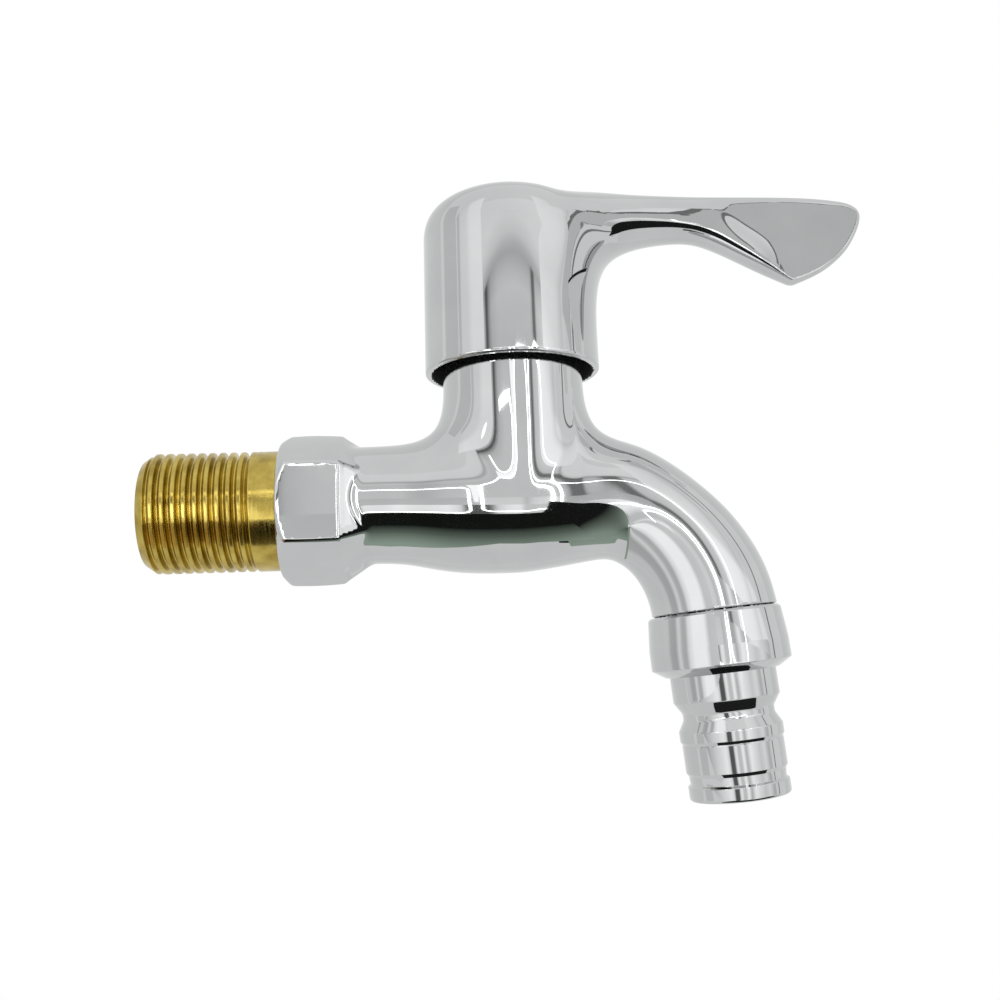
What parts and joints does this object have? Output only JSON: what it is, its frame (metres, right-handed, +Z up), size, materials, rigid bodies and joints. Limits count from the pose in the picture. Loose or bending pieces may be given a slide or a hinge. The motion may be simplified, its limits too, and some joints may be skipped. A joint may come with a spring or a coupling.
{
  "type": "garden tap",
  "caption": "Wall tap with a quarter-turn lever handle, a threaded brass inlet, a swept spout and a stepped hose nozzle.",
  "frame": {"origin": "on the inlet axis, where the brass thread meets the wall side face of the hexagon", "axes": "+X from the wall towards the spout, +Z up along the handle's axis, Y = 0 the plane of symmetry"},
  "size_m": [0.1308, 0.0312, 0.11],
  "materials": {
    "body_chrome": "polished chrome plate",
    "handle_chrome": "polished chrome plate",
    "cap_chrome": "polished chrome plate",
    "nozzle_chrome": "turned and chrome plated",
    "inlet_brass": "cut thread, bare brass",
    "housing_brass": "machined",
    "spindle_brass": "machined",
    "gasket_fibre": "fibre",
    "seal_rubber": "matt",
    "ring_rubber": "greased",
    "disc_ceramic": "lapped ceramic",
    "carrier_plastic": "moulded acetal",
    "washer_plastic": "low-friction plastic",
    "adapter_nylon": "moulded nylon",
    "clip_steel": "spring steel",
    "screw_steel": "zinc plated",
    "strainer_steel": "stamped"
  },
  "bodies": {
    "tap": {"tap_body": "body_chrome", "inlet_nipple": "inlet_brass", "headwork_housing": "housing_brass", "housing_gasket": "gasket_fibre", "seat_seal": "seal_rubber", "fixed_disc": "disc_ceramic", "thrust_washer": "washer_plastic", "collar_nut": "nozzle_chrome", "nozzle_washer": "seal_rubber", "outlet_strainer": "strainer_steel", "hose_nozzle": "nozzle_chrome"},
    "handle": {"handle": "handle_chrome", "spline_adapter": "adapter_nylon", "handle_screw": "screw_steel", "screw_cap": "cap_chrome", "spindle": "spindle_brass", "spindle_o_ring_1": "ring_rubber", "spindle_o_ring_2": "ring_rubber", "spindle_clip": "clip_steel", "disc_carrier": "carrier_plastic", "rotating_disc": "disc_ceramic"}
  },
  "joints": [
    {"name": "handle_turn", "type": "hinge", "parent": "tap", "child": "handle", "pos_m": [0.0411, 0, 0.0366], "axis": [0, 0, 1], "range_deg": [0, 90]}
  ]
}
